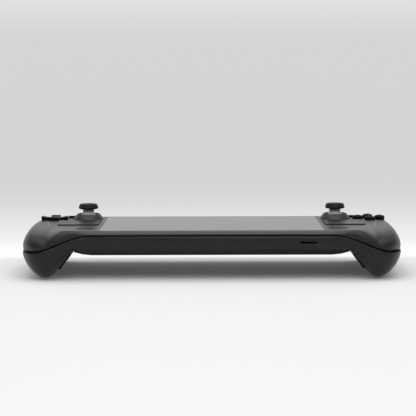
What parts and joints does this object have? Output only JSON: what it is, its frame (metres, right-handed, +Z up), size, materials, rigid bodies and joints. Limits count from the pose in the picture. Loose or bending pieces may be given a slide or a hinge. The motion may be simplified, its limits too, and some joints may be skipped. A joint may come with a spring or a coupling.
{
  "type": "handheld game console",
  "caption": "Handheld game console with a wide glass screen, curved side grips, tilting thumbsticks, direction pad, face buttons, trackpads, bumpers, triggers and rear paddles.",
  "frame": {"origin": "under the middle of the console, on the surface it lies on, back down", "axes": "+X to the player's right, +Y away from the player towards the top edge, +Z up out of the screen"},
  "size_m": [0.296, 0.117, 0.0506],
  "materials": {
    "shell": "moulded charcoal plastic with a fine matte texture",
    "glass": "polished cover glass with a black border",
    "display": "dark display panel, switched off",
    "rubber": "moulded silicone",
    "grip_rubber": "matte rubber over plastic",
    "stick": "satin moulded plastic",
    "button": "smooth black plastic",
    "paddle": "fine matte plastic",
    "trackpad": "very fine matte touch surface",
    "inner_plastic": "plain moulded plastic",
    "board": "green solder mask",
    "battery": "wrapped cells",
    "alloy": "bare pressed alloy",
    "steel": "plated steel",
    "copper": null
  },
  "bodies": {
    "console": {"front_shell": "shell", "rear_shell": "shell", "screen_glass": "glass", "screen_gasket": "rubber", "display_panel": "display", "mid_frame": "alloy", "mainboard": "board", "heatsink": "copper", "fan_housing": "inner_plastic", "battery": "battery", "ssd_module": "board", "rear_screws": "steel", "usb_c_port": "steel", "audio_jack": "inner_plastic", "card_socket": "steel", "dpad_membrane": "rubber", "face_membrane": "rubber", "haptic_motors": "steel", "left_stick_base": "inner_plastic", "left_trackpad": "trackpad", "left_control_board": "board", "left_speaker": "inner_plastic", "left_trigger_bracket": "inner_plastic", "left_trigger_pin": "steel", "right_stick_base": "inner_plastic", "right_trackpad": "trackpad", "right_control_board": "board", "right_speaker": "inner_plastic", "right_trigger_bracket": "inner_plastic", "right_trigger_pin": "steel"},
    "fan": {"fan_rotor": "inner_plastic"},
    "dpad_pivot": {"dpad_pivot": "steel"},
    "dpad": {"dpad": "button"},
    "face_button_north": {"face_button_north": "button"},
    "face_button_east": {"face_button_east": "button"},
    "face_button_south": {"face_button_south": "button"},
    "face_button_west": {"face_button_west": "button"},
    "view_button": {"view_button": "button"},
    "menu_button": {"menu_button": "button"},
    "home_button": {"home_button": "button"},
    "quick_button": {"quick_button": "button"},
    "volume_down_button": {"volume_down_button": "button"},
    "volume_up_button": {"volume_up_button": "button"},
    "power_button": {"power_button": "button"},
    "left_stick_yoke": {"left_stick_yoke": "inner_plastic"},
    "left_stick_rocker": {"left_stick_rocker": "inner_plastic"},
    "left_stick": {"left_stick_shaft": "stick", "left_stick_cap": "grip_rubber"},
    "left_bumper": {"left_bumper": "button"},
    "left_trigger": {"left_trigger": "button"},
    "left_upper_paddle": {"left_upper_paddle": "paddle"},
    "left_lower_paddle": {"left_lower_paddle": "paddle"},
    "right_stick_yoke": {"right_stick_yoke": "inner_plastic"},
    "right_stick_rocker": {"right_stick_rocker": "inner_plastic"},
    "right_stick": {"right_stick_shaft": "stick", "right_stick_cap": "grip_rubber"},
    "right_bumper": {"right_bumper": "button"},
    "right_trigger": {"right_trigger": "button"},
    "right_upper_paddle": {"right_upper_paddle": "paddle"},
    "right_lower_paddle": {"right_lower_paddle": "paddle"}
  },
  "joints": [
    {"name": "fan_spin", "type": "hinge", "parent": "console", "child": "fan", "pos_m": [0.03425, 0.018, 0.025], "axis": [0, 0, 1], "continuous": true},
    {"name": "dpad_up_down", "type": "hinge", "parent": "console", "child": "dpad_pivot", "pos_m": [-0.12935, 0.0355, 0.035], "axis": [1, 0, 0], "range_deg": [-3.5, 3.5], "stiffness_Nm_per_rad": 0.4},
    {"name": "dpad_left_right", "type": "hinge", "parent": "dpad_pivot", "child": "dpad", "pos_m": [-0.12935, 0.0355, 0.035], "axis": [0, 1, 0], "range_deg": [-3.5, 3.5], "stiffness_Nm_per_rad": 0.4},
    {"name": "face_button_north_press", "type": "slide", "parent": "console", "child": "face_button_north", "axis": [0, 0, -1], "range_m": [0, 0.0012], "stiffness_N_per_m": 800},
    {"name": "face_button_east_press", "type": "slide", "parent": "console", "child": "face_button_east", "axis": [0, 0, -1], "range_m": [0, 0.0012], "stiffness_N_per_m": 800},
    {"name": "face_button_south_press", "type": "slide", "parent": "console", "child": "face_button_south", "axis": [0, 0, -1], "range_m": [0, 0.0012], "stiffness_N_per_m": 800},
    {"name": "face_button_west_press", "type": "slide", "parent": "console", "child": "face_button_west", "axis": [0, 0, -1], "range_m": [0, 0.0012], "stiffness_N_per_m": 800},
    {"name": "view_button_press", "type": "slide", "parent": "console", "child": "view_button", "axis": [0, 0, -1], "range_m": [0, 0.0005], "stiffness_N_per_m": 1500},
    {"name": "menu_button_press", "type": "slide", "parent": "console", "child": "menu_button", "axis": [0, 0, -1], "range_m": [0, 0.0005], "stiffness_N_per_m": 1500},
    {"name": "home_button_press", "type": "slide", "parent": "console", "child": "home_button", "axis": [0, 0, -1], "range_m": [0, 0.0005], "stiffness_N_per_m": 1500},
    {"name": "quick_button_press", "type": "slide", "parent": "console", "child": "quick_button", "axis": [0, 0, -1], "range_m": [0, 0.0005], "stiffness_N_per_m": 1500},
    {"name": "volume_down_button_press", "type": "slide", "parent": "console", "child": "volume_down_button", "axis": [0, -1, 0], "range_m": [0, 0.0004], "stiffness_N_per_m": 1500},
    {"name": "volume_up_button_press", "type": "slide", "parent": "console", "child": "volume_up_button", "axis": [0, -1, 0], "range_m": [0, 0.0004], "stiffness_N_per_m": 1500},
    {"name": "power_button_press", "type": "slide", "parent": "console", "child": "power_button", "axis": [0, -1, 0], "range_m": [0, 0.0004], "stiffness_N_per_m": 1500},
    {"name": "left_stick_forward_back", "type": "hinge", "parent": "console", "child": "left_stick_yoke", "pos_m": [-0.1016, 0.036, 0.0324], "axis": [1, 0, 0], "range_deg": [-18, 18], "stiffness_Nm_per_rad": 0.03},
    {"name": "left_stick_left_right", "type": "hinge", "parent": "left_stick_yoke", "child": "left_stick_rocker", "pos_m": [-0.1016, 0.036, 0.0324], "axis": [0, 1, 0], "range_deg": [-18, 18], "stiffness_Nm_per_rad": 0.03},
    {"name": "left_stick_press", "type": "slide", "parent": "left_stick_rocker", "child": "left_stick", "axis": [0, 0, -1], "range_m": [0, 0.0006], "stiffness_N_per_m": 2500},
    {"name": "left_bumper_press", "type": "hinge", "parent": "console", "child": "left_bumper", "pos_m": [-0.11435, 0.0515, 0.028], "axis": [0, 0, 1], "range_deg": [0, 1.3], "stiffness_Nm_per_rad": 2},
    {"name": "left_trigger_pull", "type": "hinge", "parent": "console", "child": "left_trigger", "pos_m": [-0.1253, 0.045, 0.0226], "axis": [-1, 0, 0], "range_deg": [0, 13], "stiffness_Nm_per_rad": 0.12, "springref_deg": -2.86},
    {"name": "left_upper_paddle_press", "type": "slide", "parent": "console", "child": "left_upper_paddle", "axis": [-0.8029, 0, 0.5961], "range_m": [0, 0.0007], "stiffness_N_per_m": 1500},
    {"name": "left_lower_paddle_press", "type": "slide", "parent": "console", "child": "left_lower_paddle", "axis": [-0.8029, 0, 0.5961], "range_m": [0, 0.0007], "stiffness_N_per_m": 1500},
    {"name": "right_stick_forward_back", "type": "hinge", "parent": "console", "child": "right_stick_yoke", "pos_m": [0.1016, 0.036, 0.0324], "axis": [1, 0, 0], "range_deg": [-18, 18], "stiffness_Nm_per_rad": 0.03},
    {"name": "right_stick_left_right", "type": "hinge", "parent": "right_stick_yoke", "child": "right_stick_rocker", "pos_m": [0.1016, 0.036, 0.0324], "axis": [0, 1, 0], "range_deg": [-18, 18], "stiffness_Nm_per_rad": 0.03},
    {"name": "right_stick_press", "type": "slide", "parent": "right_stick_rocker", "child": "right_stick", "axis": [0, 0, -1], "range_m": [0, 0.0006], "stiffness_N_per_m": 2500},
    {"name": "right_bumper_press", "type": "hinge", "parent": "console", "child": "right_bumper", "pos_m": [0.11435, 0.0515, 0.028], "axis": [0, 0, -1], "range_deg": [0, 1.3], "stiffness_Nm_per_rad": 2},
    {"name": "right_trigger_pull", "type": "hinge", "parent": "console", "child": "right_trigger", "pos_m": [0.1253, 0.045, 0.0226], "axis": [-1, 0, 0], "range_deg": [0, 13], "stiffness_Nm_per_rad": 0.12, "springref_deg": -2.86},
    {"name": "right_upper_paddle_press", "type": "slide", "parent": "console", "child": "right_upper_paddle", "axis": [0.8029, 0, 0.5961], "range_m": [0, 0.0007], "stiffness_N_per_m": 1500},
    {"name": "right_lower_paddle_press", "type": "slide", "parent": "console", "child": "right_lower_paddle", "axis": [0.8029, 0, 0.5961], "range_m": [0, 0.0007], "stiffness_N_per_m": 1500}
  ]
}
